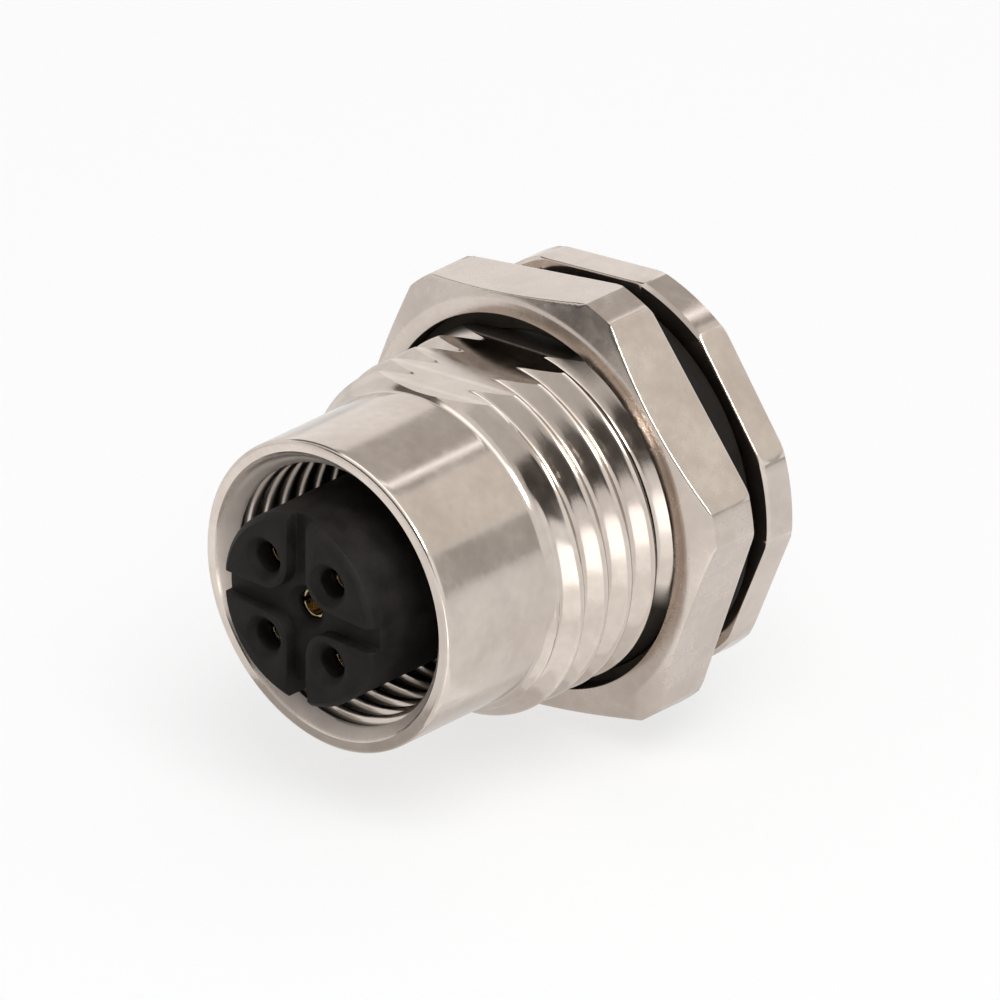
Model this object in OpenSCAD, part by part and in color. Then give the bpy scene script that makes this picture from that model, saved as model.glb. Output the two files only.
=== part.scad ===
// Panel socket of a circular connector: female, five contacts, screw coupling, fixed from behind by a lock nut.
// The axis lies along Y with the mouth towards -Y. The flange's front face, the panel's seat, is at Y = 0.

/* [Coupling socket] */
// Nominal diameter of the coupling thread inside the mouth
socket_d = 12; // [11:0.1:12.6]
// Pitch of the coupling thread
socket_pitch = 1; // [0.75:0.05:1.25]
// Depth of the socket, from the mouth to its floor
socket_depth = 9.3; // [8:0.1:10.5]
// How far the mouth's lead-in opens past the coupling thread, on the radius
mouth_flare = 0.2; // [0.1:0.05:0.4]
// Wall of the front sleeve outside the coupling thread
sleeve_wall = 0.7; // [0.6:0.05:0.9]
// Length of the smooth front sleeve, from the mouth to the panel thread
sleeve_len = 6; // [5:0.25:8]
// Width of the runout at the inner end of the coupling thread
socket_runout = 0.9; // [0.6:0.1:1.5]
// Size of the broken edges on the shell
edge_break = 0.15; // [0.05:0.05:0.25]

/* [Panel thread and flange] */
// Outside diameter of the panel thread
panel_thread_d = 15.2; // [15:0.1:16]
// Pitch of the panel thread
panel_pitch = 1.411; // [1.1:0.001:1.6]
// Length from the front sleeve to the flange
panel_thread_len = 10.6; // [9:0.1:13]
// Depth of the flat along the top of the panel thread, which keeps the socket from turning in the panel
panel_flat = 0.6; // [0.3:0.05:0.65]
// Depth of the relief for the panel seal, below the panel thread
relief_depth = 0.9; // [0.7:0.05:1]
// Width of the flange across its flats
flange_af = 16.8; // [16.4:0.1:19]
// Diameter to which the flange's corners are turned
flange_corner_d = 17.8; // [17.2:0.1:20]
// Thickness of the flange
flange_t = 1.5; // [1.4:0.1:3]
// Turn of the flange's flats about the axis
flange_turn = 7; // [-30:1:30]

/* [Lock nut] */
// Width of the nut across its flats
nut_af = 18; // [17.6:0.1:22]
// Diameter to which the nut's corners are turned
nut_corner_d = 20; // [19:0.1:23]
// Thickness of the nut
nut_t = 2.9; // [2.2:0.1:4]
// Step from the flats in to the ring where the front chamfer starts
nut_face_step = 0.2; // [0.1:0.05:0.5]
// Angle of the front chamfer from the nut's face
nut_chamfer = 24; // [20:1:45]
// Width of the recess in front of the nut's thread
nut_recess = 0.4; // [0.2:0.05:0.5]
// Depth of that recess
nut_recess_depth = 1; // [0.5:0.1:1.2]
// Countersink behind the nut's thread
nut_countersink = 0.5; // [0.2:0.05:0.6]
// Clearance between the nut and the crests of the panel thread, on the radius
nut_clear = 0.05; // [0.02:0.01:0.1]
// Gap between the nut and the panel seal, with no panel fitted
nut_gap = 0.3; // [0.2:0.05:4]
// Turn of the nut's flats about the axis
nut_turn = 10; // [-30:1:30]

/* [Seals] */
// Section of the panel seal
panel_seal_section = 1.6; // [1.2:0.1:2]
// Section of the seal round the insert
insert_seal_section = 1; // [0.8:0.05:1.2]

/* [Contact insert] */
// Diameter of the insert's barrel
insert_d = 8.3; // [8:0.1:8.6]
// How far the insert's face stands out of the mouth
insert_proud = 1.8; // [0.5:0.1:2.5]
// Chamfer round the insert's face
insert_chamfer = 0.25; // [0.1:0.05:0.4]
// Diameter of the shell's rear bore, which holds the insert's shoulder
rear_bore_d = 11; // [10.6:0.1:11.6]
// Thickness of the web inside the shell, at the socket's floor
web_t = 1; // [0.8:0.1:1.2]
// Width of the cross groove in the insert's face
cross_w = 1.05; // [0.6:0.05:1.3]
// Depth of the cross groove
cross_depth = 0.6; // [0.3:0.05:0.8]
// Width of the coding keyway
keyway_w = 1.2; // [0.8:0.1:1.5]
// Depth of the coding keyway
keyway_depth = 0.7; // [0.4:0.05:0.8]
// Length of the coding keyway, from the insert's face
keyway_len = 8; // [5:0.5:9]
// Thickness of the rear insulator
rear_insulator_t = 2.6; // [2:0.1:3]

/* [Contacts] */
// Diameter of the circle of the four outer contacts
contact_pcd = 5; // [4.8:0.1:5.3]
// Diameter of the mating pins
pin_d = 1; // [0.8:0.05:1.1]
// Clearance of a mating pin in its contact, on the radius
pin_clear = 0.02; // [0.01:0.01:0.04]
// Wall of the contact's barrel
contact_wall = 0.23; // [0.18:0.01:0.26]
// Depth of the contact's bore
contact_bore_depth = 8; // [6:0.5:9]
// Width of the slit that makes the contact's two springs
slit_w = 0.2; // [0.15:0.05:0.25]
// Length of that slit
slit_len = 4; // [2:0.5:5]
// Step from the contact's barrel out to its collar
collar_step = 0.3; // [0.2:0.05:0.35]
// Thickness of the collar
collar_t = 1; // [0.6:0.1:1.4]
// How far the solder cups stand out behind the flange
cup_proud = 3.5; // [2:0.5:5]
// Depth of the solder cup's bore
cup_depth = 3; // [1.5:0.5:4]
// Wall of the solder cup
cup_wall = 0.22; // [0.15:0.01:0.3]
// Clearance of a mating pin in the insert's face, on the radius
entry_clear = 0.15; // [0.1:0.05:0.2]
// Lead-in chamfer of each contact hole
entry_chamfer = 0.3; // [0.1:0.05:0.35]
// Thickness of the insert in front of the contacts, behind the cross groove
entry_wall = 0.5; // [0.4:0.05:0.8]

/* [Retaining ring] */
// Thickness of the retaining ring
ring_t = 0.7; // [0.5:0.05:0.9]
// Depth of its groove in the shell
ring_groove = 0.4; // [0.3:0.05:0.6]
// How far the ring stands out of its groove
ring_stand = 0.7; // [0.4:0.05:0.8]
// Width of the ring's gap
ring_gap = 3; // [1:0.5:5]
// Rim of the shell behind the ring
ring_rim = 0.4; // [0.3:0.05:0.6]

/* [Hidden] */
$fn = 64;

nickel = [0.80, 0.77, 0.73];
bright_nickel = [0.84, 0.81, 0.77];
rubber = [0.06, 0.06, 0.06];
black_plastic = [0.11, 0.11, 0.11];
gold = [0.85, 0.68, 0.36];
spring_steel = [0.62, 0.62, 0.63];

// Reach of a cutting shape past the face that it cuts
over = 0.2;
// Clearance between pieces that are pushed together
slip = 0.02;
// Clearance round the insert and the contacts, on the radius
guide_clear = 0.05;

// Thread forms: depth for one unit of pitch, half the angle between the flanks, width of the groove's floor
metric_depth = 0.54;
metric_flank = 30;
conduit_depth = 0.475;
conduit_flank = 40;
floor_share = 0.1;
// Place of the panel thread's first groove behind the sleeve, in pitches
first_groove = 1.12;

sleeve_r = socket_d / 2 + sleeve_wall;
mouth_r = socket_d / 2 + mouth_flare;
socket_groove = metric_depth * socket_pitch;
socket_minor_r = socket_d / 2 - socket_groove;
socket_runout_z = socket_depth - socket_runout;
panel_groove = conduit_depth * panel_pitch;
panel_thread_r = panel_thread_d / 2;
panel_root_r = panel_thread_r - panel_groove;
relief_r = panel_thread_r - relief_depth;

flange_front = sleeve_len + panel_thread_len;
flange_back = flange_front + flange_t;
panel_seal_z = flange_front - slip - panel_seal_section / 2;
panel_seal_front = panel_seal_z - panel_seal_section / 2;
relief_start = panel_seal_front - nut_gap;
nut_front = panel_seal_front - nut_gap - nut_t;
nut_bore_r = panel_thread_r + nut_clear;
nut_face_r = nut_af / 2 - nut_face_step;

insert_r = insert_d / 2;
insert_face = -insert_proud;
web_back = socket_depth + web_t;
shoulder_front = web_back + insert_seal_section + 2 * slip;
ring_back = flange_back - ring_rim;
ring_front = ring_back - ring_t - 2 * slip;
shoulder_back = ring_front - rear_insulator_t;
rear_bore_r = rear_bore_d / 2;
shoulder_r = rear_bore_r - guide_clear;

contact_hole_r = pin_d / 2 + pin_clear;
contact_r = contact_hole_r + contact_wall;
cavity_r = contact_r + guide_clear;
collar_r = contact_r + collar_step;
entry_r = pin_d / 2 + entry_clear;
contact_front = insert_face + cross_depth + entry_wall;
collar_front = shoulder_back - collar_t;
cup_end = flange_back + cup_proud;
// The outer contacts stand on the diagonals of the cross, the fifth in its middle
contact_offset = contact_pcd / 2 * cos(45);
CONTACTS = [[-1, -1], [1, -1], [1, 1], [-1, 1], [0, 0]] * contact_offset;

// Lays the axis along Y, with the mouth towards -Y and the flange's front face at Y = 0.
module in_place() {
    translate([0, -flange_front, 0])
        rotate([-90, 0, 0])
            children();
}

// Hexagonal bar of a given width across its flats, with one flat on top before it is turned.
module hexagon_bar(af, h, turn) {
    rotate([0, 0, -turn])
        linear_extrude(h)
            circle(r = af / 2 / cos(30), $fn = 6);
}

// Turned rings in the places of a thread's grooves, cut from wall_r down or up to floor_r.
module thread_grooves(wall_r, floor_r, pitch, flank, first, last) {
    side = sign(wall_r - floor_r);
    reach = wall_r + side * over;
    floor_half = floor_share * pitch / 2;
    mouth_half = floor_half + abs(reach - floor_r) * tan(flank);
    for (z = [first : pitch : last])
        translate([0, 0, z])
            rotate_extrude()
                polygon([
                    [floor_r, -floor_half],
                    [floor_r, floor_half],
                    [reach, mouth_half],
                    [reach, -mouth_half]
                ]);
}

// Outside of the shell in front of the flange: sleeve, thread blank with its lead-in, relief for the seal.
module shell_front() {
    rotate_extrude()
        polygon([
            [0, 0],
            [sleeve_r - edge_break, 0],
            [sleeve_r, edge_break],
            [sleeve_r, sleeve_len],
            [panel_thread_r, sleeve_len + panel_thread_r - sleeve_r],
            [panel_thread_r, relief_start],
            [relief_r, relief_start],
            [relief_r, flange_front],
            [0, flange_front]
        ]);
}

module shell_flange() {
    corner_r = flange_corner_d / 2;
    translate([0, 0, flange_front])
        intersection() {
            hexagon_bar(flange_af, flange_t, flange_turn);
            rotate_extrude()
                polygon([
                    [0, 0],
                    [corner_r - edge_break, 0],
                    [corner_r, edge_break],
                    [corner_r, flange_t - edge_break],
                    [corner_r - edge_break, flange_t],
                    [0, flange_t]
                ]);
        }
}

// Inside of the shell: lead-in, coupling thread's bore, runout, web, rear bore and the ring's groove.
module shell_bore() {
    web_r = insert_r + guide_clear;
    groove_r = rear_bore_r + ring_groove;
    rotate_extrude()
        polygon([
            [0, -over],
            [mouth_r + over, -over],
            [socket_minor_r, mouth_r - socket_minor_r],
            [socket_minor_r, socket_runout_z],
            [socket_d / 2, socket_runout_z],
            [socket_d / 2, socket_depth],
            [web_r, socket_depth],
            [web_r, web_back],
            [rear_bore_r, web_back],
            [rear_bore_r, ring_front],
            [groove_r, ring_front],
            [groove_r, ring_back],
            [rear_bore_r, ring_back],
            [rear_bore_r, flange_back - edge_break],
            [rear_bore_r + edge_break + over, flange_back + over],
            [0, flange_back + over]
        ]);
}

// Flat along the whole top of the panel thread, down to just above the roots.
module thread_flat() {
    translate([-panel_thread_r, -panel_thread_r - over, sleeve_len])
        cube([panel_thread_d, panel_flat + over, relief_start - sleeve_len + over]);
}

module shell() {
    color(nickel)
        in_place()
            difference() {
                union() {
                    shell_front();
                    shell_flange();
                }
                shell_bore();
                thread_flat();
                thread_grooves(panel_thread_r, panel_root_r, panel_pitch, conduit_flank,
                    sleeve_len + first_groove * panel_pitch, relief_start);
                thread_grooves(socket_minor_r, socket_d / 2, socket_pitch, metric_flank,
                    mouth_flare + socket_pitch, socket_runout_z);
            }
}

// The nut's bore clears the crests, because the thread's rings can't pass each other along the axis.
module lock_nut() {
    corner_r = nut_corner_d / 2;
    color(bright_nickel)
        in_place()
            translate([0, 0, nut_front])
                difference() {
                    intersection() {
                        hexagon_bar(nut_af, nut_t, nut_turn);
                        rotate_extrude()
                            polygon([
                                [0, 0],
                                [nut_face_r, 0],
                                [corner_r, (corner_r - nut_face_r) * tan(nut_chamfer)],
                                [corner_r, nut_t - edge_break],
                                [corner_r - edge_break, nut_t],
                                [0, nut_t]
                            ]);
                    }
                    rotate_extrude()
                        polygon([
                            [0, -over],
                            [nut_bore_r + nut_recess, -over],
                            [nut_bore_r + nut_recess, nut_recess_depth],
                            [nut_bore_r, nut_recess_depth],
                            [nut_bore_r, nut_t - nut_countersink],
                            [nut_bore_r + nut_countersink + over, nut_t + over],
                            [0, nut_t + over]
                        ]);
                }
}

// Round rubber ring on a shaft of the given radius, with its middle at z.
module seal_ring(shaft_r, section, z) {
    translate([0, 0, z])
        rotate_extrude()
            translate([shaft_r + slip + section / 2, 0])
                circle(d = section);
}

module panel_seal() {
    color(rubber)
        in_place()
            seal_ring(relief_r, panel_seal_section, panel_seal_z);
}

module insert_seal() {
    color(rubber)
        in_place()
            seal_ring(insert_r, insert_seal_section, (web_back + shoulder_front) / 2);
}

// Plan of one raised quarter of the insert's face: its inner corner is round about the contact hole.
module face_quarter() {
    corner_r = contact_offset - cross_w / 2;
    translate([contact_offset, contact_offset])
        circle(r = corner_r);
    translate([contact_offset, cross_w / 2])
        square(insert_d);
    translate([cross_w / 2, contact_offset])
        square(insert_d);
}

module face_cross() {
    translate([0, 0, insert_face - over])
        linear_extrude(cross_depth + over)
            difference() {
                square(2 * insert_d, center = true);
                for (quarter = [0 : 90 : 270])
                    rotate(quarter)
                        face_quarter();
            }
}

// The keyway lies below, opposite the flat of the panel thread.
module coding_keyway() {
    translate([-keyway_w / 2, insert_r - keyway_depth, insert_face - over])
        cube([keyway_w, keyway_depth + over, keyway_len + over]);
}

// Stepped hole for one contact, opening at face_z with a lead-in.
module contact_cavity(face_z) {
    rotate_extrude()
        polygon([
            [0, face_z - over],
            [entry_r + entry_chamfer + over, face_z - over],
            [entry_r, face_z + entry_chamfer],
            [entry_r, contact_front - slip],
            [cavity_r, contact_front - slip],
            [cavity_r, collar_front],
            [collar_r + guide_clear, collar_front],
            [collar_r + guide_clear, shoulder_back + over],
            [0, shoulder_back + over]
        ]);
}

module contact_insert() {
    color(black_plastic)
        in_place()
            difference() {
                rotate_extrude()
                    polygon([
                        [0, insert_face],
                        [insert_r - insert_chamfer, insert_face],
                        [insert_r, insert_face + insert_chamfer],
                        [insert_r, shoulder_front],
                        [shoulder_r, shoulder_front],
                        [shoulder_r, shoulder_back],
                        [0, shoulder_back]
                    ]);
                face_cross();
                coding_keyway();
                for (place = CONTACTS)
                    translate(place)
                        contact_cavity(norm(place) > 0 ? insert_face : insert_face + cross_depth);
            }
}

module rear_insulator() {
    color(black_plastic)
        in_place()
            difference() {
                translate([0, 0, shoulder_back])
                    cylinder(h = rear_insulator_t, r = shoulder_r);
                for (place = CONTACTS)
                    translate([place.x, place.y, shoulder_back - over])
                        cylinder(h = rear_insulator_t + 2 * over, r = cavity_r);
            }
}

module retaining_ring() {
    outer_r = rear_bore_r + ring_groove - guide_clear;
    color(spring_steel)
        in_place()
            translate([0, 0, ring_front + slip])
                linear_extrude(ring_t)
                    difference() {
                        circle(r = outer_r);
                        circle(r = rear_bore_r - ring_stand);
                        translate([-ring_gap / 2, -rear_bore_d])
                            square([ring_gap, rear_bore_d]);
                    }
}

// One turned contact: slit barrel in front, collar, solder cup with an open side behind.
module contact(index) {
    cup_r = contact_r - cup_wall;
    cup_floor = cup_end - cup_depth;
    color(gold)
        in_place()
            translate(CONTACTS[index])
                difference() {
                    rotate_extrude()
                        polygon([
                            [0, contact_front],
                            [contact_r, contact_front],
                            [contact_r, collar_front],
                            [collar_r, collar_front],
                            [collar_r, shoulder_back],
                            [contact_r, shoulder_back],
                            [contact_r, cup_end],
                            [0, cup_end]
                        ]);
                    translate([0, 0, contact_front - over])
                        cylinder(h = contact_bore_depth + over, r = contact_hole_r);
                    translate([-contact_r - over, -slit_w / 2, contact_front - over])
                        cube([2 * (contact_r + over), slit_w, slit_len + over]);
                    translate([0, 0, cup_floor])
                        cylinder(h = cup_depth + over, r = cup_r);
                    translate([-contact_r - over, -contact_r - over, cup_floor + cup_r])
                        cube([2 * (contact_r + over), contact_r + over, cup_depth]);
                }
}

module contact_1() { contact(0); }
module contact_2() { contact(1); }
module contact_3() { contact(2); }
module contact_4() { contact(3); }
module contact_5() { contact(4); }

shell();
lock_nut();
panel_seal();
contact_insert();
insert_seal();
rear_insulator();
retaining_ring();
contact_1();
contact_2();
contact_3();
contact_4();
contact_5();
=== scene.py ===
"""Looks of the panel socket: plated shell and nut with cut threads, moulded insert, gold contacts."""
import math

import bmesh
import bpy
from mathutils import Matrix, Vector


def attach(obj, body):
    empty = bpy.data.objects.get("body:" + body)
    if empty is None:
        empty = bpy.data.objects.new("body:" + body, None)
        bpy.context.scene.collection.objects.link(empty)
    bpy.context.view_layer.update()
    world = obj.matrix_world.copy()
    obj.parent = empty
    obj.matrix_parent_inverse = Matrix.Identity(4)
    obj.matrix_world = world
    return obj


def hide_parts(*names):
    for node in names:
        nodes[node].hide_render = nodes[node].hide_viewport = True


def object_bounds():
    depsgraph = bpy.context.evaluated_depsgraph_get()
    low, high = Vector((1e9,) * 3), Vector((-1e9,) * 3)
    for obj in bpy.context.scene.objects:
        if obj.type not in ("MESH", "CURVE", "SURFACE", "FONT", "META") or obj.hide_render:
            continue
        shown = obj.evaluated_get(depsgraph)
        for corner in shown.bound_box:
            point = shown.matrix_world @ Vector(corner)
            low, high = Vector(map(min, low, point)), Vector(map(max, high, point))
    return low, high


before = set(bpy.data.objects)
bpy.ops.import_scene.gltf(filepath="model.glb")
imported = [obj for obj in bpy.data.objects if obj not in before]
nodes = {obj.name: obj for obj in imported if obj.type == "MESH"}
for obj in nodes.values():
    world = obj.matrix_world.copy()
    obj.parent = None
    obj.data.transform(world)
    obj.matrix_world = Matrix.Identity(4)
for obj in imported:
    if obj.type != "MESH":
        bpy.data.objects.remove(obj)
cad_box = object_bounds()

MM = 0.001

# Sizes in mm, as in the part's source; depths run from the mouth towards the back. The flat is the exception:
# here it is turned a little and cut a little deeper
FLANGE_FRONT = 16.6
FLANGE_BACK = 18.1
SLEEVE_R = 6.7
SLEEVE_LEN = 6.0
MOUTH_R = 6.2
SOCKET_R = 6.0
SOCKET_MINOR_R = 5.46
SOCKET_PITCH = 1.0
SOCKET_FLANK = 30.0
SOCKET_RUNOUT = 8.4
SOCKET_FLOOR = 9.3
WEB_R = 4.2
WEB_BACK = 10.3
REAR_BORE_R = 5.5
RING_GROOVE_R = 5.9
RING_FRONT = 16.96
RING_BACK = 17.7
PANEL_R = 7.6
PANEL_PITCH = 1.411
PANEL_FLANK = 40.0
PANEL_ROOT_R = PANEL_R - 0.475 * PANEL_PITCH
PANEL_FLAT = 6.8
PANEL_FLAT_AT = 94.5
RELIEF_R = 6.7
RELIEF_START = 14.68
FLANGE_HALF = 8.4
FLANGE_CORNER_R = 8.9
FLANGE_FLAT = 97.0
NUT_FRONT = 11.78
NUT_T = 2.9
NUT_HALF = 9.0
NUT_CORNER_R = 10.0
NUT_FLAT = 100.0
NUT_FACE_R = 8.8
NUT_CHAMFER = math.tan(math.radians(24))
NUT_RECESS_R = 8.05
NUT_RECESS_BACK = NUT_FRONT + 1.0
NUT_COUNTERSINK_R = 8.15

# Radial play between the nut's thread and the shell's, and what each thread rises in a mm of its run-out
NUT_PLAY = 0.06
PANEL_RUNOUT_RISE = 3.0
SOCKET_RUNOUT_RISE = 2.0

# Depth of the panel thread's root, and of the coupling thread's, where the angle is 0
PANEL_ROOT_AT = 7.72
SOCKET_ROOT_AT = 1.6

# Edges: broken edges of the shell, worn edges of the hexagons, roundness of the thread's crests
EDGE_BREAK = 0.15
EDGE_WORN = 0.08
HEX_BLEND = 0.06
CREST_BLEND = 0.12
SOCKET_CREST_BLEND = 0.3
FACE_BLEND = 0.06
STEP_FILLET = 0.24
# Width that the edges of the moulded, turned and bent small pieces are broken by
MOULDED_EDGE = 0.05
CONTACT_EDGE = 0.03
RING_EDGE = 0.04

# Painted shade under the nut and in the coupling thread's roots: depth over which it sets in under the nut,
# the angles between which the thread there fades to unshaded, and the shares of the coupling thread's height
# between which it fades out
SHADE_FADE = 0.2
UNSHADED_LOW = (-22.0, -12.0)
UNSHADED_HIGH = (75.0, 60.0)
SHADED_HEIGHT = (0.58, 0.33)

# Meshes: step of the columns round the axis and least angle of a sharp edge, in degrees; rows in one pitch;
# distances of the rows from a worn edge; radii inside which the hexagons' rules leave the turned faces alone
COLUMN_STEP = 1.5
SHARP_EDGE = 40.0
PANEL_ROWS = 24
SOCKET_ROWS = 16
WORN_ROWS = (0.0, 0.012, 0.04, 0.08, 0.15)
FLANGE_PLAIN_R = 7.5
NUT_PLAIN_R = 8.3
# Angles in degrees up to which facets of a CAD node are one face, and from which an edge of it is broken
ONE_FACE = 2.0
BROKEN_EDGE = 30.0


def point(r, depth, angle):
    """Place in metres of a radius and a depth in mm at an angle in degrees, from +X towards +Z."""
    a = math.radians(angle)
    return Vector((r * math.cos(a), depth - FLANGE_FRONT, r * math.sin(a))) * MM


def polar(co):
    """Radius and depth in mm and angle in degrees of a place in metres."""
    x, y, z = co / MM
    return math.hypot(x, z), y + FLANGE_FRONT, math.degrees(math.atan2(z, x))


def share(value, start, end):
    """How far a value has come on its way from start to end, from 0 to 1."""
    return min(max((value - start) / (end - start), 0.0), 1.0)


def soft_min(a, b, k):
    """The lesser of two lengths with a rounded change-over, and how close that change-over is."""
    near = max(k - abs(a - b), 0.0) / k
    return min(a, b) - near * near * k / 4, near


def soft_max(a, b, k):
    low, near = soft_min(-a, -b, k)
    return -low, near


def columns(flat, half, corner_r):
    """Angles round the axis: even steps, and three close together at each edge of a turned hexagon."""
    edge = math.degrees(math.acos(half / corner_r))
    close = 0.35
    edges = sorted((flat + 60 * k + side * edge) % 360 for k in range(6) for side in (-1, 1))
    even = [COLUMN_STEP * k for k in range(int(360 / COLUMN_STEP))]
    kept = [a for a in even if all(abs((a - e + 180) % 360 - 180) > 2 * close for e in edges)]
    ring = sorted(kept + [(e + d) % 360 for e in edges for d in (-close, 0.0, close)])
    return ring + [ring[0] + 360]


def turn(profile, ring, lead=0.0):
    """Turns a profile of (radius, depth, wear and painted shade) round the axis; lead is its travel in a full
    turn.

    Its layer is 1 on bright worn edges and -1 where shade is painted into recesses and thread roots.
    """
    bm = bmesh.new()
    wear_and_shade = bm.verts.layers.float.new("wear_and_shade")
    verts = []
    for r, depth, worn in profile:
        v = bm.verts.new(point(r, depth, ring[0]))
        v[wear_and_shade] = worn
        verts.append(v)
    geom = verts + [bm.edges.new(pair) for pair in zip(verts, verts[1:])]
    for a, b in zip(ring, ring[1:]):
        made = bmesh.ops.spin(bm, geom=geom, cent=(0, 0, 0), axis=(0, -1, 0),
            dvec=(0, lead * (b - a) / 360 * MM, 0), angle=math.radians(b - a), steps=1)
        geom = made["geom_last"]
    return bm


def reshape(bm, rule):
    """Moves each vertex by a rule from radius, depth, angle and wear and painted shade to a new radius, depth
    and that value.
    """
    wear_and_shade = bm.verts.layers.float["wear_and_shade"]
    for v in bm.verts:
        r, depth, angle = polar(v.co)
        r, depth, worn = rule(r, depth, angle, v[wear_and_shade])
        v.co = point(r, depth, angle)
        v[wear_and_shade] = worn
    return bm


def thread(root_at, pitch, first, last, ring, groove, count=PANEL_ROWS):
    """Strips of one pitch, wound as a right-hand screw between two depths; groove gives their profile."""
    rows = [k / count for k in range(count + 1)]
    start = root_at - pitch * ring[0] / 360
    start -= math.ceil((start - first) / pitch) * pitch
    bm = turn([groove(s * pitch, start) for s in rows], ring, lead=-pitch)
    strip = bm.verts[:] + bm.edges[:] + bm.faces[:]
    for k in range(1, int((last - start) / pitch) + 2):
        copy = bmesh.ops.duplicate(bm, geom=strip)["geom"]
        bmesh.ops.translate(bm, vec=(0, k * pitch * MM, 0),
            verts=[g for g in copy if isinstance(g, bmesh.types.BMVert)])
    return bm


def v_groove(wall_r, floor_r, pitch, flank, blend=CREST_BLEND, painted_shade=0.0):
    """Profile of a thread: a V groove from wall_r to floor_r with a round, worn crest and shade painted into
    its root.
    """
    side = 1 if wall_r > floor_r else -1
    tall = abs(wall_r - floor_r)
    slope = 1 / math.tan(math.radians(flank))
    floor_half = 0.05 * pitch

    def at(s, start):
        off = min(s, pitch - s)
        rise, _ = soft_max(0.0, (off - floor_half) * slope, CREST_BLEND)
        height, near = soft_min(rise, tall, blend)
        crest = 1.0 if rise > tall else near
        # Painted shade in the groove's root, fading out up the flank
        shaded = painted_shade * share(height / tall, *SHADED_HEIGHT)
        return floor_r + side * height, start + s, crest - shaded

    return at


def flattened(bm):
    """Cuts the flat across the top of the panel thread: what stands above it is brought down to it."""
    a = math.radians(PANEL_FLAT_AT)
    up = Vector((math.cos(a), 0, math.sin(a)))
    top = PANEL_FLAT * MM
    whole = bm.verts[:] + bm.edges[:] + bm.faces[:]
    bmesh.ops.bisect_plane(bm, geom=whole, dist=1e-7, plane_co=up * top, plane_no=up)
    for v in bm.verts:
        v.co -= up * max(v.co.dot(up) - top, 0.0)
    return bm


def plain(*points):
    """Profile points with no wear."""
    return [(r, depth, 0.0) for r, depth in points]


def hexagon_r(angle, half, flat):
    off = (angle - flat + 30) % 60 - 30
    return half / math.cos(math.radians(off))


def worn_off(distance):
    """How far a worn edge lies back at a distance from the end face."""
    left = EDGE_WORN - min(max(distance, 0.0), EDGE_WORN)
    return EDGE_WORN - math.sqrt(EDGE_WORN ** 2 - left ** 2)


def joined(parts):
    """One closed mesh from turned parts that share their rims."""
    whole = bmesh.new()
    for part in parts:
        loose = bpy.data.meshes.new("loose")
        part.to_mesh(loose)
        part.free()
        whole.from_mesh(loose)
        bpy.data.meshes.remove(loose)
    bmesh.ops.remove_doubles(whole, verts=whole.verts, dist=1e-6)
    bmesh.ops.dissolve_degenerate(whole, dist=1e-7, edges=whole.edges)
    bmesh.ops.recalc_face_normals(whole, faces=whole.faces)
    return whole


def piece(name, bm, body, node):
    """Makes a mesh a piece of the object that rides on a body and stands for a CAD node."""
    mesh = bpy.data.meshes.new(name)
    bm.to_mesh(mesh)
    bm.free()
    mesh.shade_smooth()
    mesh.set_sharp_from_angle(angle=math.radians(SHARP_EDGE))
    made = bpy.data.objects.new(name, mesh)
    bpy.context.scene.collection.objects.link(made)
    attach(made, body)
    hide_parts(node)
    return made


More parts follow.
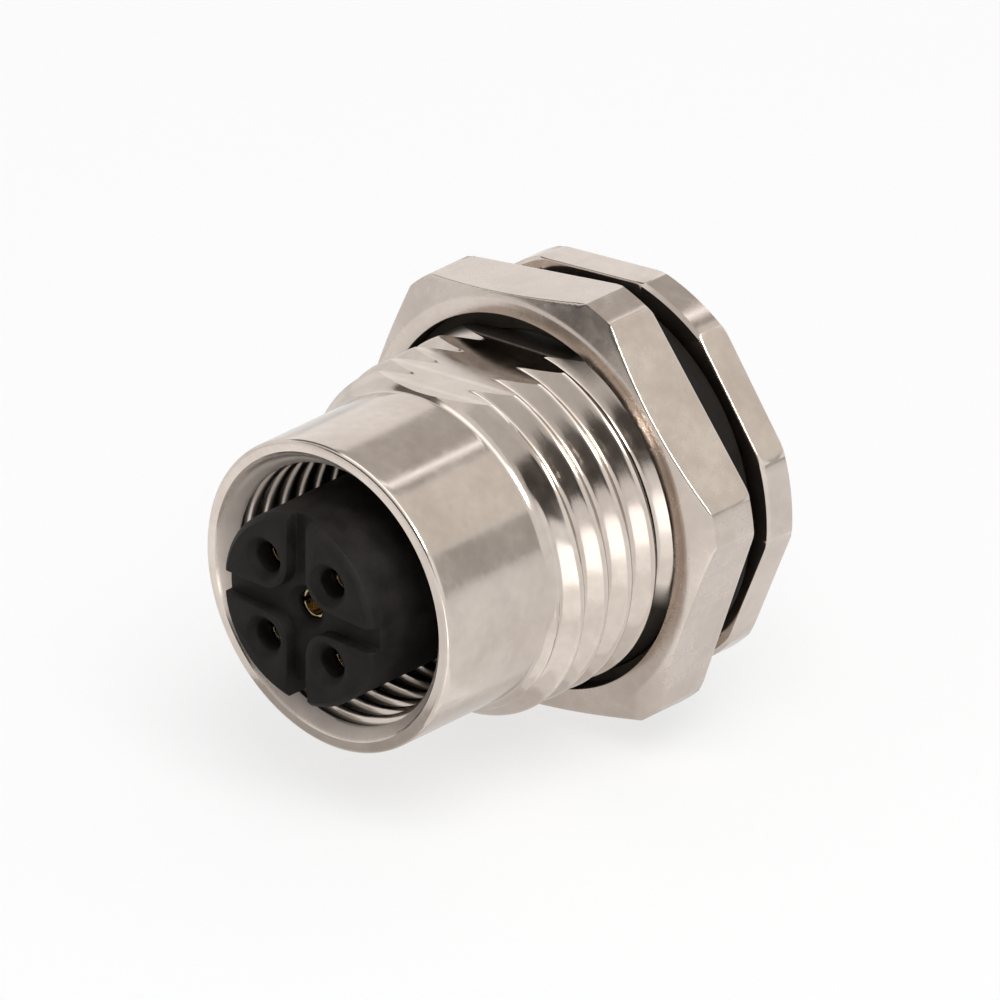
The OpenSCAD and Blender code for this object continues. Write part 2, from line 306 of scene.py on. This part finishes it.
def turned_shell():
    """The shell as one closed mesh: sleeve, panel thread with its flat, coupling thread, flange, bore."""
    ring = columns(FLANGE_FLAT, FLANGE_HALF, FLANGE_CORNER_R)
    step = SLEEVE_LEN - STEP_FILLET

    def sleeve():
        q = EDGE_BREAK
        rim = [(MOUTH_R, 0, 1.0), (MOUTH_R + 0.03, 0, 0.6), (SLEEVE_R - q - 0.04, 0, 0.3)]
        edge = [(SLEEVE_R - q, 0.006, 0.7), (SLEEVE_R - q * 0.5, q * 0.25, 1.0),
            (SLEEVE_R - q * 0.15, q * 0.6, 0.9), (SLEEVE_R, q * 1.3, 0.4)]
        outside = plain((SLEEVE_R, 0.4), (SLEEVE_R, SLEEVE_LEN / 2), (SLEEVE_R, step))
        return turn([*rim, *edge, *outside], ring)

    def panel_rule(r, depth, angle, worn):
        if depth <= step:
            return SLEEVE_R, step, 0.0
        if depth >= RELIEF_START:
            return RELIEF_R, RELIEF_START, 0.0
        lead_in = SLEEVE_R + soft_max(0.0, depth - SLEEVE_LEN, STEP_FILLET)[0]
        lead_out = RELIEF_R + (RELIEF_START - depth) * PANEL_RUNOUT_RISE
        r, near = soft_min(r, lead_in, HEX_BLEND)
        r, _ = soft_min(r, lead_out, HEX_BLEND)
        # Painted shade on the thread under the nut, left off on the side between two angles
        under_nut = share(depth, NUT_FRONT, NUT_FRONT + SHADE_FADE)
        unshaded = share(angle, *UNSHADED_LOW) * share(angle, *UNSHADED_HIGH)
        shaded = under_nut * (1 - unshaded)
        return r, depth, min(worn + near, 1.0) * (1 - shaded) - shaded

    def socket_rule(r, depth, angle, worn):
        if depth <= 0:
            return MOUTH_R, 0.0, 1.0
        if depth >= SOCKET_RUNOUT:
            return SOCKET_R, SOCKET_RUNOUT, 0.0
        lead_in = MOUTH_R - depth
        worn *= share(r, lead_in, lead_in + EDGE_BREAK)
        r, near = soft_max(r, lead_in, HEX_BLEND)
        r, _ = soft_max(r, SOCKET_R - (SOCKET_RUNOUT - depth) * SOCKET_RUNOUT_RISE, HEX_BLEND)
        return min(r, MOUTH_R), depth, min(worn + near, 1.0)

    def flange_rule(r, depth, angle, worn):
        if r < FLANGE_PLAIN_R or depth < FLANGE_FRONT - 0.001:
            return r, depth, worn
        end = min(depth - FLANGE_FRONT, FLANGE_BACK - depth)
        flat = hexagon_r(angle, FLANGE_HALF, FLANGE_FLAT) - worn_off(end)
        r, near = soft_min(r, flat, HEX_BLEND)
        edge = 1.0 if end < EDGE_WORN else 0.0
        return r, depth, max(worn, near, edge)

    def back_profile():
        t = FLANGE_BACK - FLANGE_FRONT
        inner = FLANGE_CORNER_R - EDGE_BREAK
        front = plain(*((inner + d, FLANGE_FRONT + d) for d in WORN_ROWS))
        back = plain(*((inner + d, FLANGE_BACK - d) for d in reversed(WORN_ROWS)))
        relief = plain((RELIEF_R, RELIEF_START), (RELIEF_R, FLANGE_FRONT))
        front_face = plain(*((r, FLANGE_FRONT) for r in (7.4, 8.0, 8.3)))
        middle = plain((FLANGE_CORNER_R, FLANGE_FRONT + t / 2))
        back_face = plain((8.3, FLANGE_BACK), (7.6, FLANGE_BACK), (REAR_BORE_R + EDGE_BREAK, FLANGE_BACK))
        rear_bore = plain((REAR_BORE_R, FLANGE_BACK - EDGE_BREAK), (REAR_BORE_R, RING_BACK),
            (RING_GROOVE_R, RING_BACK), (RING_GROOVE_R, RING_FRONT), (REAR_BORE_R, RING_FRONT))
        web = plain((REAR_BORE_R, WEB_BACK), (WEB_R, WEB_BACK), (WEB_R, SOCKET_FLOOR),
            (SOCKET_R, SOCKET_FLOOR), (SOCKET_R, SOCKET_RUNOUT))
        return [*relief, *front_face, *front, *middle, *back, *back_face, *rear_bore, *web]

    panel = thread(PANEL_ROOT_AT, PANEL_PITCH, step, RELIEF_START, ring,
        v_groove(PANEL_R, PANEL_ROOT_R, PANEL_PITCH, PANEL_FLANK))
    # The coupling thread has shade painted into its roots
    socket = thread(SOCKET_ROOT_AT, SOCKET_PITCH, 0.0, SOCKET_RUNOUT, ring,
        v_groove(SOCKET_MINOR_R, SOCKET_R, SOCKET_PITCH, SOCKET_FLANK, SOCKET_CREST_BLEND, painted_shade=1.0),
        count=SOCKET_ROWS)
    parts = [sleeve(), flattened(reshape(panel, panel_rule)), reshape(socket, socket_rule),
        reshape(turn(back_profile(), ring), flange_rule)]
    return piece("turned_shell", joined(parts), "socket", "shell")


def hexagon_nut():
    """The nut as one closed mesh: turned face and recess, hexagon, and a bore with the panel thread in it."""
    ring = columns(NUT_FLAT, NUT_HALF, NUT_CORNER_R)
    back = NUT_FRONT + NUT_T

    def nut_rule(r, depth, angle, worn):
        if r < NUT_PLAIN_R:
            return r, depth, worn
        end = back - depth
        flat = hexagon_r(angle, NUT_HALF, NUT_FLAT) - worn_off(end)
        r, near = soft_min(r, flat, HEX_BLEND)
        edge = 1.0 if end < EDGE_WORN else 0.0
        return r, depth, max(worn, near, edge)

    def bore_rule(r, depth, angle, worn):
        # The bore carries painted shade where it meets the recess, and wear at its back edge
        if depth <= NUT_RECESS_BACK:
            return NUT_RECESS_R, NUT_RECESS_BACK, -1.0
        if depth >= back:
            return NUT_COUNTERSINK_R, back, 1.0
        r, near = soft_max(r, NUT_COUNTERSINK_R - (back - depth), HEX_BLEND)
        return min(r, NUT_COUNTERSINK_R), depth, worn + near

    def face(r):
        return NUT_FRONT + soft_max(0.0, (r - NUT_FACE_R) * NUT_CHAMFER, FACE_BLEND)[0]

    close = 0.05
    first = NUT_FACE_R - 6 * close
    cone = [first + close * k for k in range(round((NUT_CORNER_R - first) / close) + 1)]
    # The recess carries painted shade, fading out to a bright worn rim at the face
    recess = [(NUT_RECESS_R, NUT_RECESS_BACK, -1.0), (NUT_RECESS_R, NUT_FRONT + 0.15, -1.0),
        (NUT_RECESS_R, NUT_FRONT + 0.05, -0.3), (NUT_RECESS_R + 0.012, NUT_FRONT + 0.012, 0.6),
        (NUT_RECESS_R + 0.05, NUT_FRONT, 0.2)]
    front = plain(*((r, face(r)) for r in cone))
    outside = plain(*((NUT_CORNER_R, NUT_FRONT + d) for d in (0.6, 1.0, 1.5, 2.1)),
        *((NUT_CORNER_R - EDGE_BREAK + d, back - d) for d in reversed(WORN_ROWS)))
    behind = [*plain((9.0, back), (8.6, back)), (NUT_COUNTERSINK_R, back, 1.0)]
    groove = v_groove(PANEL_R, PANEL_ROOT_R, PANEL_PITCH, PANEL_FLANK)

    def nut_groove(s, start):
        r, depth, _ = groove(s, start)
        # The nut's thread carries painted shade all over
        return r + NUT_PLAY, depth, -1.0

    bore = thread(PANEL_ROOT_AT, PANEL_PITCH, NUT_RECESS_BACK, back, ring, nut_groove)
    parts = [reshape(turn([*recess, *front, *outside, *behind], ring), nut_rule), reshape(bore, bore_rule)]
    return piece("hexagon_nut", joined(parts), "nut", "lock_nut")


class Wire:
    """A shader socket that takes part in Python expressions, and makes the nodes of its tree."""

    def __init__(self, tree, socket=None):
        self.tree = tree
        self.socket = socket

    def node(self, kind, settings, inputs, output=0):
        """Adds a node of a type, sets its settings first, then the values or links of its sockets."""
        made = self.tree.nodes.new(kind)
        for key, value in settings.items():
            setattr(made, key, value)
        for key, value in inputs.items():
            if isinstance(value, Wire):
                self.tree.links.new(value.socket, made.inputs[key])
            else:
                made.inputs[key].default_value = value
        return Wire(self.tree, made.outputs[output])

    def maths(self, operation, *values):
        return self.node("ShaderNodeMath", {"operation": operation}, dict(enumerate(values)))

    def __add__(self, other):
        return self.maths("ADD", self, other)

    def __radd__(self, other):
        return self.maths("ADD", other, self)

    def __sub__(self, other):
        return self.maths("SUBTRACT", self, other)

    def __rsub__(self, other):
        return self.maths("SUBTRACT", other, self)

    def __mul__(self, other):
        return self.maths("MULTIPLY", self, other)

    def __rmul__(self, other):
        return self.maths("MULTIPLY", other, self)

    def noise(self, scale, detail=2.0, roughness=0.5):
        """Even noise of a number of features in a metre, from the piece's own coordinates."""
        return self.node("ShaderNodeTexNoise", {}, {"Vector": self, "Scale": scale, "Detail": detail,
            "Roughness": roughness})

    def between(self, low, high):
        """Spreads the values between two limits over 0 to 1."""
        return self.node("ShaderNodeMapRange", {"interpolation_type": "SMOOTHSTEP"},
            {"Value": self, "From Min": low, "From Max": high})

    def tint(self, dark, light):
        """Colour from dark to light by this value."""
        return self.mix((*dark, 1), (*light, 1))

    def mix(self, first, second):
        """Colour from the first to the second by this value."""
        return self.node("ShaderNodeMix", {"data_type": "RGBA"}, {0: self, 6: first, 7: second}, 2)


def material(name, **constants):
    """A material with its constant sockets set; gives it, its shader and a wire of Object coordinates."""
    made = bpy.data.materials.new(name)
    made.use_nodes = True
    shader = made.node_tree.nodes["Principled BSDF"]
    for key, value in constants.items():
        shader.inputs[key.replace("_", " ")].default_value = value
    place = Wire(made.node_tree).node("ShaderNodeTexCoord", {}, {}, 3)
    return made, shader, place


def feed(shader, **wires):
    """Links wires to a shader's sockets."""
    for key, wire in wires.items():
        wire.tree.links.new(wire.socket, shader.inputs[key.replace("_", " ")])


def bump(height, depth):
    """A surface that a height from 0 to 1 lifts by a depth in metres."""
    return height.node("ShaderNodeBump", {}, {"Strength": 1.0, "Distance": depth, "Height": height})


# Colour of the shade painted into the nut's recess and the thread roots, and the radius and depths at which
# the mouth's dull lead-in passes into bright plating
SHADE_COLOUR = (0.045, 0.037, 0.029, 1)
LEAD_IN_R = 6.05
LEAD_IN_END = (0.65, 0.9)


def nickel(name, smooth, rough, grain_depth):
    """Nickel plating: warm grey, cloudy, bright on worn edges, dark and dull where shade is painted, dull on
    the lead-in.
    """
    made, shader, place = material(name, Specular_IOR_Level=0.15)
    wear_and_shade = place.node("ShaderNodeAttribute", {"attribute_name": "wear_and_shade"}, {}, 2)
    worn = wear_and_shade.maths("MAXIMUM", wear_and_shade, 0.0)
    # Negative values of the layer are painted shade: darker colour, less metallic and rougher
    painted_shade = wear_and_shade.maths("MAXIMUM", -1.0 * wear_and_shade, 0.0)
    cloud = place.noise(420, 3.0).between(0.3, 0.7)
    stain = place.noise(1900, 4.0, 0.6).between(0.35, 0.75)
    grain = place.noise(30000, 2.0, 0.6)
    across, depth, up = (place.node("ShaderNodeSeparateXYZ", {}, {0: place}, k) for k in range(3))
    within = 1.0 - (across * across + up * up).between((LEAD_IN_R * MM) ** 2, (MOUTH_R * MM) ** 2)
    lead_in = within * (1.0 - depth.between(*((d - FLANGE_FRONT) * MM for d in LEAD_IN_END)))
    marks = depth.node("ShaderNodeTexNoise", {"noise_dimensions": "1D"},
        {"W": depth, "Scale": 14000.0, "Detail": 2.0})
    shade = 0.55 * cloud + 0.3 * stain + 0.4 * worn
    plating = shade.tint((0.53, 0.46, 0.41), (0.66, 0.585, 0.525))
    dull = 0.05 * stain - 0.04 * worn + 0.35 * painted_shade + 0.2 * lead_in
    feed(shader, Base_Color=painted_shade.mix(plating, SHADE_COLOUR), Metallic=(1.0 - 0.7 * painted_shade) * (1.0 - 0.45 * lead_in),
        Roughness=smooth + (rough - smooth) * cloud + dull,
        Normal=bump(0.7 * grain + 0.5 * marks, grain_depth))
    return made


def black_plastic(name):
    made, shader, place = material(name, Specular_IOR_Level=0.12)
    cloud = place.noise(900, 3.0).between(0.3, 0.7)
    grain = place.noise(9000, 3.0, 0.6)
    feed(shader, Base_Color=cloud.tint((0.008, 0.0066, 0.0058), (0.0155, 0.0132, 0.0119)),
        Roughness=0.5 + 0.14 * cloud, Normal=bump(grain, 8e-6))
    return made


def rubber(name):
    made, shader, place = material(name, Specular_IOR_Level=0.1)
    cloud = place.noise(1200, 3.0).between(0.3, 0.7)
    grain = place.noise(14000, 3.0, 0.65)
    feed(shader, Base_Color=cloud.tint((0.0075, 0.006, 0.005), (0.0125, 0.0098, 0.0082)),
        Roughness=0.62 + 0.15 * cloud, Normal=bump(grain, 8e-6))
    return made


def gold(name):
    made, shader, place = material(name, Metallic=1.0)
    cloud = place.noise(1500, 3.0).between(0.3, 0.7)
    grain = place.noise(18000, 2.0)
    feed(shader, Base_Color=cloud.tint((0.52, 0.42, 0.25), (0.66, 0.55, 0.36)),
        Roughness=0.18 + 0.12 * cloud, Normal=bump(grain, 5e-7))
    return made


def spring_steel(name):
    made, shader, place = material(name, Metallic=1.0)
    cloud = place.noise(800, 3.0).between(0.3, 0.7)
    grain = place.noise(15000, 2.0)
    feed(shader, Base_Color=cloud.tint((0.22, 0.215, 0.21), (0.34, 0.335, 0.325)),
        Roughness=0.28 + 0.14 * cloud, Normal=bump(grain, 2e-6))
    return made


def dress(made, finish):
    made.data.materials.clear()
    made.data.materials.append(finish)


def softened(node, width):
    """A copy of a CAD node with its edges broken, so that they catch the light."""
    bm = bmesh.new()
    bm.from_mesh(nodes[node].data)
    bm.transform(nodes[node].matrix_world)
    bmesh.ops.remove_doubles(bm, verts=bm.verts, dist=1e-6)
    bmesh.ops.dissolve_limit(bm, angle_limit=math.radians(ONE_FACE), verts=bm.verts, edges=bm.edges)
    least = math.radians(BROKEN_EDGE)
    edges = [e for e in bm.edges if e.is_manifold and e.calc_face_angle() > least]
    bmesh.ops.bevel(bm, geom=edges, offset=width * MM, offset_type="OFFSET", affect="EDGES", segments=2,
        profile=0.5, clamp_overlap=True, material=-1)
    return piece(f"soft_{node}", bm, "socket", node)


dress(turned_shell(), nickel("nickel_shell", 0.10, 0.16, 1.2e-6))
dress(hexagon_nut(), nickel("nickel_nut", 0.20, 0.28, 1.2e-6))
insulation = black_plastic("insert_plastic")
seal = rubber("seal_rubber")
plating = gold("contact_gold")
for name in ("contact_insert", "rear_insulator"):
    dress(softened(name, MOULDED_EDGE), insulation)
for name in ("panel_seal", "insert_seal"):
    dress(nodes[name], seal)
for k in range(1, 6):
    dress(softened(f"contact_{k}", CONTACT_EDGE), plating)
dress(softened("retaining_ring", RING_EDGE), spring_steel("spring_steel"))


# Camera: a long lens from the front, to the right and above
AZIMUTH = math.radians(43.1)
ELEVATION = math.radians(26.6)
DISTANCE = 1.32
PIXELS_PER_MM = 24.9
FRAME_MM = 1000 / PIXELS_PER_MM
LEVEL = Vector((math.sin(AZIMUTH), -math.cos(AZIMUTH), 0))
BACK = LEVEL * math.cos(ELEVATION) + Vector((0, 0, math.sin(ELEVATION)))
RIGHT = Vector((math.cos(AZIMUTH), math.sin(AZIMUTH), 0))
UP = BACK.cross(RIGHT)
# The mouth's middle stands left of the picture's middle and below it
MOUTH_LEFT = 173.5 / PIXELS_PER_MM
MOUTH_BELOW = 97.2 / PIXELS_PER_MM

# Studio: where the cards in front of the object and behind it stand on the axis, in metres
FRONT_STAND = -0.4
REAR_STAND = 0.4


def camera():
    lens = bpy.data.cameras.new("camera")
    lens.sensor_width = 36.0
    lens.lens = 36.0 * DISTANCE / (FRAME_MM * MM)
    made = bpy.data.objects.new("camera", lens)
    bpy.context.scene.collection.objects.link(made)
    aim = point(0, 0, 0) + (RIGHT * MOUTH_LEFT + UP * MOUTH_BELOW) * MM
    made.location = aim + BACK * DISTANCE
    made.rotation_mode = "QUATERNION"
    made.rotation_quaternion = (-BACK).to_track_quat("-Z", "Y")
    bpy.context.scene.camera = made


def seen(tree, mirrored=1.0):
    """1 for rays from the camera, a share for gloss and glass, 0 for the light that falls on things."""
    path = tree.nodes.new("ShaderNodeLightPath").outputs
    kinds = ("Camera", "Glossy", "Transmission")
    camera_ray, gloss, glass = (Wire(tree, path[f"Is {kind} Ray"]) for kind in kinds)
    return gloss.maths("MINIMUM", camera_ray + mirrored * (gloss + glass), 1.0)


def white_room():
    world = bpy.data.worlds.new("white_room")
    world.use_nodes = True
    bpy.context.scene.world = world
    back = world.node_tree.nodes["Background"]
    shown = seen(world.node_tree)
    world.node_tree.links.new((0.55 + 0.45 * shown).socket, back.inputs["Strength"])
    back.inputs["Color"].default_value = (1, 1, 1, 1)


def pale_floor():
    bm = bmesh.new()
    bmesh.ops.create_grid(bm, x_segments=1, y_segments=1, size=1.0)
    low = cad_box[0].z
    bmesh.ops.translate(bm, verts=bm.verts, vec=(0, 0, low - 0.0002))
    mesh = bpy.data.meshes.new("pale_floor")
    bm.to_mesh(mesh)
    bm.free()
    floor = bpy.data.objects.new("pale_floor", mesh)
    bpy.context.scene.collection.objects.link(floor)
    made = bpy.data.materials.new("pale_floor")
    made.use_nodes = True
    tree = made.node_tree
    tree.nodes.remove(tree.nodes["Principled BSDF"])
    start = Wire(tree)
    paint = start.node("ShaderNodeBsdfDiffuse", {}, {"Color": (0.9, 0.9, 0.9, 1)})
    glow = start.node("ShaderNodeEmission", {}, {"Color": (1, 1, 1, 1), "Strength": 1.0})
    mixed = start.node("ShaderNodeMixShader", {}, {0: 0.7 * seen(tree, 0.55), 1: paint, 2: glow})
    tree.links.new(mixed.socket, tree.nodes["Material Output"].inputs["Surface"])
    dress(floor, made)


def softbox(name, direction, distance, width, height, power):
    """A soft area lamp that shines on the object from a direction; the plating mirrors the cards instead."""
    light = bpy.data.lights.new(name, "AREA")
    light.shape = "RECTANGLE"
    light.size, light.size_y = width, height
    light.energy = power
    made = bpy.data.objects.new(name, light)
    made.location = Vector(direction).normalized() * distance
    made.rotation_mode = "QUATERNION"
    made.rotation_quaternion = Vector(direction).to_track_quat("Z", "Y")
    made.visible_camera = False
    made.visible_glossy = False
    bpy.context.scene.collection.objects.link(made)


def card(name, bm, colour):
    """A card of the studio that only the plating mirrors; its colour is how bright it looks, 1 is white."""
    mesh = bpy.data.meshes.new(name)
    bm.to_mesh(mesh)
    bm.free()
    made = bpy.data.objects.new(name, mesh)
    bpy.context.scene.collection.objects.link(made)
    made.visible_camera = False
    made.visible_diffuse = False
    made.visible_shadow = False
    paint = bpy.data.materials.new(name)
    paint.use_nodes = True
    tree = paint.node_tree
    tree.nodes.remove(tree.nodes["Principled BSDF"])
    glow = Wire(tree).node("ShaderNodeEmission", {}, {"Color": (*colour, 1), "Strength": 1.0})
    tree.links.new(glow.socket, tree.nodes["Material Output"].inputs["Surface"])
    dress(made, paint)


def wall(name, y, left, right, low, high, colour):
    """A card across the axis, in metres."""
    bm = bmesh.new()
    bmesh.ops.create_grid(bm, x_segments=1, y_segments=1, size=0.5)
    bmesh.ops.rotate(bm, matrix=Matrix.Rotation(math.radians(90), 3, "X"), verts=bm.verts)
    bmesh.ops.scale(bm, vec=(right - left, 1, high - low), verts=bm.verts)
    bmesh.ops.translate(bm, vec=((left + right) / 2, y, (low + high) / 2), verts=bm.verts)
    card(name, bm, colour)


def fan(name, start, end, colour):
    """A card behind the object in the shape of a fan about the axis, from one angle to another."""
    bm = bmesh.new()
    ends = [bm.verts.new((r, REAR_STAND, 0)) for r in (0.25, 0.9)]
    rib = [*ends, bm.edges.new(ends)]
    bmesh.ops.rotate(bm, cent=(0, 0, 0), matrix=Matrix.Rotation(math.radians(-start), 3, "Y"), verts=ends)
    bmesh.ops.spin(bm, geom=rib, cent=(0, 0, 0), axis=(0, -1, 0), angle=math.radians(end - start), steps=12)
    card(name, bm, colour)


def facing(name, direction, distance, size, colour):
    """A square card that faces the object from a direction."""
    bm = bmesh.new()
    bmesh.ops.create_grid(bm, x_segments=1, y_segments=1, size=size / 2)
    aim = Vector(direction).normalized()
    bmesh.ops.rotate(bm, matrix=aim.to_track_quat("Z", "Y").to_matrix(), verts=bm.verts)
    bmesh.ops.translate(bm, vec=aim * distance, verts=bm.verts)
    card(name, bm, colour)


def patch(name, corners, colour):
    """A card between four places, in order round it."""
    bm = bmesh.new()
    made = bmesh.ops.create_grid(bm, x_segments=1, y_segments=1, size=1.0)["verts"]
    for v, place in zip((made[0], made[1], made[3], made[2]), corners):
        v.co = place
    card(name, bm, colour)


def on_table(name, places, colour):
    """A card on the table between four places, in mm."""
    patch(name, [Vector((x * MM, y * MM, cad_box[0].z)) for x, y in places], colour)


def ceiling_lamp():
    """A long lamp over the object, which draws the bright lines along rounded edges."""
    places = ((-0.25, -0.1), (0.45, -0.1), (0.45, 0.1), (-0.25, 0.1))
    patch("ceiling_lamp", [Vector((x, y, 0.5)) for x, y in places], (2.0, 1.97, 1.93))


bpy.context.scene.view_settings.view_transform = "Standard"
camera()
white_room()
pale_floor()
softbox("key_light", (0.5, -0.3, 0.9), 0.6, 0.4, 0.4, 2.5)
facing("glint", (0.68, -0.16, 0.71), 0.5, 0.15, (30.0, 30.0, 29.0))
facing("left_shade", (-0.72, 0.0, 0.69), 0.5, 0.3, (0.2, 0.19, 0.18))
wall("front_dark", FRONT_STAND, -0.33, 0.36, 0.072, 0.255, (0.08, 0.073, 0.066))
wall("front_high", FRONT_STAND + 0.005, 0.15, 0.37, 0.25, 0.33, (0.08, 0.073, 0.066))
wall("front_left", FRONT_STAND, -0.55, -0.335, 0.12, 0.34, (0.38, 0.36, 0.33))
wall("front_grey", FRONT_STAND, -0.19, 0.5, 0.26, 0.62, (0.72, 0.71, 0.69))
fan("rear_wall", 2, 30, (0.56, 0.55, 0.53))
fan("rear_pale", 32, 78, (0.92, 0.90, 0.85))
fan("rear_line", 79, 84, (0.5, 0.48, 0.45))
fan("rear_tube", 86.5, 89.5, (2.2, 2.2, 2.2))
fan("rear_grey", 91, 131, (0.60, 0.58, 0.56))
fan("rear_window", 133, 178, (1.12, 1.11, 1.10))
ceiling_lamp()
# Painted light and painted shadow on the table, which only the plating mirrors: the glow, near, left and side
# cards are pools of light, the mouth and sleeve shades stand for the object's shadow
on_table("table_glow", ((15.6, -33.5), (26.6, -25.7), (132, -137), (86.3, -169)), (2.2, 2.2, 2.2))
on_table("table_near", ((9, -21), (18, -16), (26.6, -25.7), (15.6, -33.5)), (1.35, 1.35, 1.33))
on_table("table_left", ((-42, -48), (-13, -48), (-13, -27), (-42, -18)), (1.15, 1.15, 1.15))
on_table("mouth_shade", ((-10, -26), (3, -26), (6, -17), (-10, -17)), (0.5, 0.49, 0.47))
on_table("sleeve_shade", ((-4, -17), (5, -17), (5, 0), (-4, 0)), (0.72, 0.70, 0.68))
on_table("table_side", ((6, -9), (14, -9), (18, -16), (9, -21)), (1.15, 1.15, 1.14))
